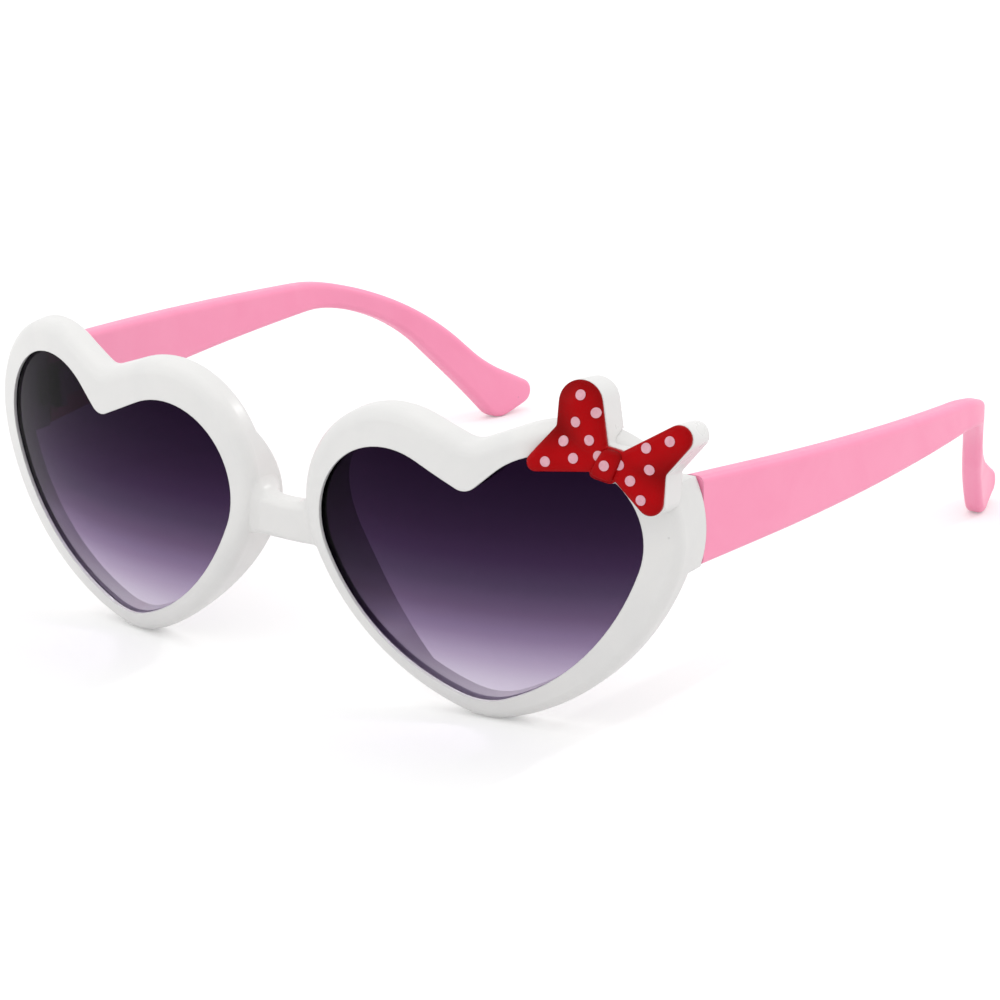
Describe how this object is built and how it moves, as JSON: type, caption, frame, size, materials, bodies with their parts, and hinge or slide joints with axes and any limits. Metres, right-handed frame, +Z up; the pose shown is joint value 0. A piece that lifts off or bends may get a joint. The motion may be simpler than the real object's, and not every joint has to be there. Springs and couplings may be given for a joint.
{
  "type": "heart shaped sunglasses",
  "caption": "Child's heart-shaped sunglasses with a white front, gradient lenses, folding pink temples and a polka-dot bow on one corner.",
  "frame": {"origin": "on the surface the open glasses stand on, below the middle of their bounding box", "axes": "+Z up, -Y the way the lenses face, +X towards the wearer's left, the side with the bow"},
  "size_m": [0.1312, 0.1309, 0.053],
  "materials": {
    "front": "white injection-moulded plastic with a soft gloss",
    "lens": "tinted clear plastic, dark violet grey at the top fading to pale lilac below",
    "temple": "pink injection-moulded plastic, satin",
    "metal": "plain nickel-plated steel",
    "bow_base": "white injection-moulded plastic with a soft gloss",
    "bow_red": "glossy red lacquered plastic",
    "bow_dot": "pale pink printed ink"
  },
  "bodies": {
    "front": {"front_frame": "front", "lens_left": "lens", "lens_right": "lens", "hinge_front_leaf_left": "metal", "hinge_front_leaf_right": "metal", "hinge_screw_left": "metal", "hinge_screw_right": "metal", "bow_base": "bow_base", "bow_face": "bow_red", "bow_knot": "bow_red", "bow_dots": "bow_dot"},
    "arm_left": {"temple_left": "temple", "hinge_temple_leaf_left": "metal", "leaf_rivets_left": "metal"},
    "arm_right": {"temple_right": "temple", "hinge_temple_leaf_right": "metal", "leaf_rivets_right": "metal"}
  },
  "joints": [
    {"name": "fold_left", "type": "hinge", "parent": "front", "child": "arm_left", "pos_m": [0.0564, -0.0479, 0.03183], "axis": [0, 0, 1], "range_deg": [0, 86]},
    {"name": "fold_right", "type": "hinge", "parent": "front", "child": "arm_right", "pos_m": [-0.0564, -0.0479, 0.03183], "axis": [0, 0, -1], "range_deg": [0, 77]}
  ]
}
